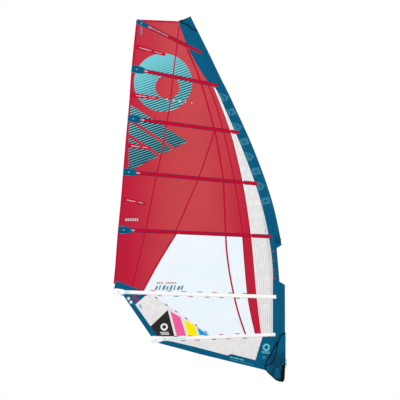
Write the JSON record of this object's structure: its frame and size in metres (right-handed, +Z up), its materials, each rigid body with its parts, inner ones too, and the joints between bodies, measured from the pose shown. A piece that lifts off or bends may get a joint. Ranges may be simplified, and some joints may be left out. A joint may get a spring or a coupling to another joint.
{
  "type": "windsurf sail",
  "caption": "Battened windsurf sail with a hollow mast sleeve, boom cut-out, clear window, clew eyelets, batten tensioners and a tack pulley.",
  "frame": {"origin": "on the mast axis at the lower mouth of the mast sleeve", "axes": "+Z up the lower mast, +X forward out of the sleeve nose with the sail trailing to -X, -Y out of the face that carries the batten pockets"},
  "size_m": [2.158, 0.1691, 4.5583],
  "materials": {
    "red_film": "glossy red scrim film",
    "window_film": "clear, faintly blue window film",
    "red_xply": "red film with a fine crossed scrim",
    "white_xply": "white film with a crossed scrim",
    "blue_sailcloth": "woven polyester sailcloth, petrol blue",
    "dark_sailcloth": "woven sailcloth with black binding",
    "red_pocket": "red pocket tape",
    "white_pocket": "white pocket tape",
    "batten_rod": "pultruded glass and carbon",
    "black_plastic": "moulded plastic",
    "tensioner_plastic": "moulded plastic, white",
    "stainless": "brushed stainless steel",
    "sheave_plastic": "acetal, fine turned",
    "black_webbing": "polyester webbing",
    "fairing_foam": "foam-backed cloth, dark blue"
  },
  "bodies": {
    "sail": {"batten_1": "batten_rod", "batten_2": "batten_rod", "batten_3": "batten_rod", "batten_4": "batten_rod", "batten_5": "batten_rod", "batten_6": "batten_rod", "batten_7": "batten_rod", "batten_pocket_1": "red_pocket", "batten_pocket_2": "red_pocket", "batten_pocket_3": "red_pocket", "batten_pocket_4": "red_pocket", "batten_pocket_5": "red_pocket", "batten_pocket_6": "white_pocket", "batten_pocket_7": "white_pocket", "batten_tips": "black_plastic", "boom_cutout_web": "blue_sailcloth", "clew_eyelets": "stainless", "clew_panel": "white_xply", "clew_patch": "blue_sailcloth", "film_panel_2": "red_film", "film_panel_3": "red_film", "film_panel_4": "red_film", "film_panel_5": "red_film", "foot_panel": "white_xply", "foot_strip": "blue_sailcloth", "head_cap": "dark_sailcloth", "head_panel": "red_film", "leech_film_panel": "red_film", "luff_strip": "white_xply", "mast_tip_cup": "black_plastic", "mini_batten_pockets": "red_pocket", "mini_battens": "batten_rod", "sleeve_lower": "blue_sailcloth", "sleeve_upper": "blue_sailcloth", "tack_fairing_back": "fairing_foam", "tack_patch": "blue_sailcloth", "tack_pulley_axle": "stainless", "tack_pulley_block": "stainless", "tack_webbing": "black_webbing", "tensioner_housings": "tensioner_plastic", "window_band": "red_xply", "window_panel": "window_film"},
    "fairing_flap": {"tack_fairing_flap": "fairing_foam"},
    "tensioner_slider_1": {"tensioner_slider_1": "black_plastic"},
    "tensioner_screw_1": {"tensioner_screw_1": "stainless"},
    "tensioner_slider_2": {"tensioner_slider_2": "black_plastic"},
    "tensioner_screw_2": {"tensioner_screw_2": "stainless"},
    "tensioner_slider_3": {"tensioner_slider_3": "black_plastic"},
    "tensioner_screw_3": {"tensioner_screw_3": "stainless"},
    "tensioner_slider_4": {"tensioner_slider_4": "black_plastic"},
    "tensioner_screw_4": {"tensioner_screw_4": "stainless"},
    "tensioner_slider_5": {"tensioner_slider_5": "black_plastic"},
    "tensioner_screw_5": {"tensioner_screw_5": "stainless"},
    "tensioner_slider_6": {"tensioner_slider_6": "black_plastic"},
    "tensioner_screw_6": {"tensioner_screw_6": "stainless"},
    "tensioner_slider_7": {"tensioner_slider_7": "black_plastic"},
    "tensioner_screw_7": {"tensioner_screw_7": "stainless"},
    "tack_sheave_1": {"tack_sheave_1": "sheave_plastic"},
    "tack_sheave_2": {"tack_sheave_2": "sheave_plastic"},
    "tack_sheave_3": {"tack_sheave_3": "sheave_plastic"}
  },
  "joints": [
    {"name": "tensioner_travel_1", "type": "slide", "parent": "sail", "child": "tensioner_slider_1", "axis": [0.8978, 0, -0.4404], "range_m": [-0.01, 0]},
    {"name": "tensioner_turn_1", "type": "hinge", "parent": "tensioner_slider_1", "child": "tensioner_screw_1", "pos_m": [-1.815, 0.01929, 4.38], "axis": [0.8978, 0, -0.4404], "range_deg": [-1802, 0.5]},
    {"name": "tensioner_travel_2", "type": "slide", "parent": "sail", "child": "tensioner_slider_2", "axis": [0.9811, 0, -0.1935], "range_m": [-0.01, 0]},
    {"name": "tensioner_turn_2", "type": "hinge", "parent": "tensioner_slider_2", "child": "tensioner_screw_2", "pos_m": [-1.88, 0.01128, 3.79], "axis": [0.9811, 0, -0.1935], "range_deg": [-1802, 0.5]},
    {"name": "tensioner_travel_3", "type": "slide", "parent": "sail", "child": "tensioner_slider_3", "axis": [0.9916, 0, -0.1293], "range_m": [-0.01, 0]},
    {"name": "tensioner_turn_3", "type": "hinge", "parent": "tensioner_slider_3", "child": "tensioner_screw_3", "pos_m": [-1.925, 0.00368, 3.17], "axis": [0.9916, 0, -0.1293], "range_deg": [-1802, 0.5]},
    {"name": "tensioner_travel_4", "type": "slide", "parent": "sail", "child": "tensioner_slider_4", "axis": [0.996, 0, -0.0897], "range_m": [-0.01, 0]},
    {"name": "tensioner_turn_4", "type": "hinge", "parent": "tensioner_slider_4", "child": "tensioner_screw_4", "pos_m": [-1.98, -0.00246, 2.5], "axis": [0.996, 0, -0.0897], "range_deg": [-1802, 0.5]},
    {"name": "tensioner_travel_5", "type": "slide", "parent": "sail", "child": "tensioner_slider_5", "axis": [0.999, 0, -0.0445], "range_m": [-0.01, 0]},
    {"name": "tensioner_turn_5", "type": "hinge", "parent": "tensioner_slider_5", "child": "tensioner_screw_5", "pos_m": [-2.045, -0.00655, 1.775], "axis": [0.999, 0, -0.0445], "range_deg": [-1802, 0.5]},
    {"name": "tensioner_travel_6", "type": "slide", "parent": "sail", "child": "tensioner_slider_6", "axis": [0.9995, 0, -0.032], "range_m": [-0.01, 0]},
    {"name": "tensioner_turn_6", "type": "hinge", "parent": "tensioner_slider_6", "child": "tensioner_screw_6", "pos_m": [-2.11, -0.008, 1], "axis": [0.9995, 0, -0.032], "range_deg": [-1802, 0.5]},
    {"name": "tensioner_travel_7", "type": "slide", "parent": "sail", "child": "tensioner_slider_7", "axis": [0.9991, 0, 0.0419], "range_m": [-0.01, 0]},
    {"name": "tensioner_turn_7", "type": "hinge", "parent": "tensioner_slider_7", "child": "tensioner_screw_7", "pos_m": [-1.64, 0.01781, 0.4], "axis": [0.9991, 0, 0.0419], "range_deg": [-1802, 0.5]},
    {"name": "tack_sheave_turn_1", "type": "hinge", "parent": "sail", "child": "tack_sheave_1", "pos_m": [-0.076, -0.0094, -0.06], "axis": [0, 1, 0], "continuous": true},
    {"name": "tack_sheave_turn_2", "type": "hinge", "parent": "sail", "child": "tack_sheave_2", "pos_m": [-0.076, 0, -0.06], "axis": [0, 1, 0], "continuous": true},
    {"name": "tack_sheave_turn_3", "type": "hinge", "parent": "sail", "child": "tack_sheave_3", "pos_m": [-0.076, 0.0094, -0.06], "axis": [0, 1, 0], "continuous": true},
    {"name": "fairing_open", "type": "hinge", "parent": "sail", "child": "fairing_flap", "pos_m": [0.038, 0, 0.15], "axis": [0, 0, 1], "range_deg": [0, 120]}
  ],
  "couplings": [
    {"joint": "tensioner_turn_1", "follows": "tensioner_travel_1", "rad_per_m": 3141.6},
    {"joint": "tensioner_turn_2", "follows": "tensioner_travel_2", "rad_per_m": 3141.6},
    {"joint": "tensioner_turn_3", "follows": "tensioner_travel_3", "rad_per_m": 3141.6},
    {"joint": "tensioner_turn_4", "follows": "tensioner_travel_4", "rad_per_m": 3141.6},
    {"joint": "tensioner_turn_5", "follows": "tensioner_travel_5", "rad_per_m": 3141.6},
    {"joint": "tensioner_turn_6", "follows": "tensioner_travel_6", "rad_per_m": 3141.6},
    {"joint": "tensioner_turn_7", "follows": "tensioner_travel_7", "rad_per_m": 3141.6}
  ]
}
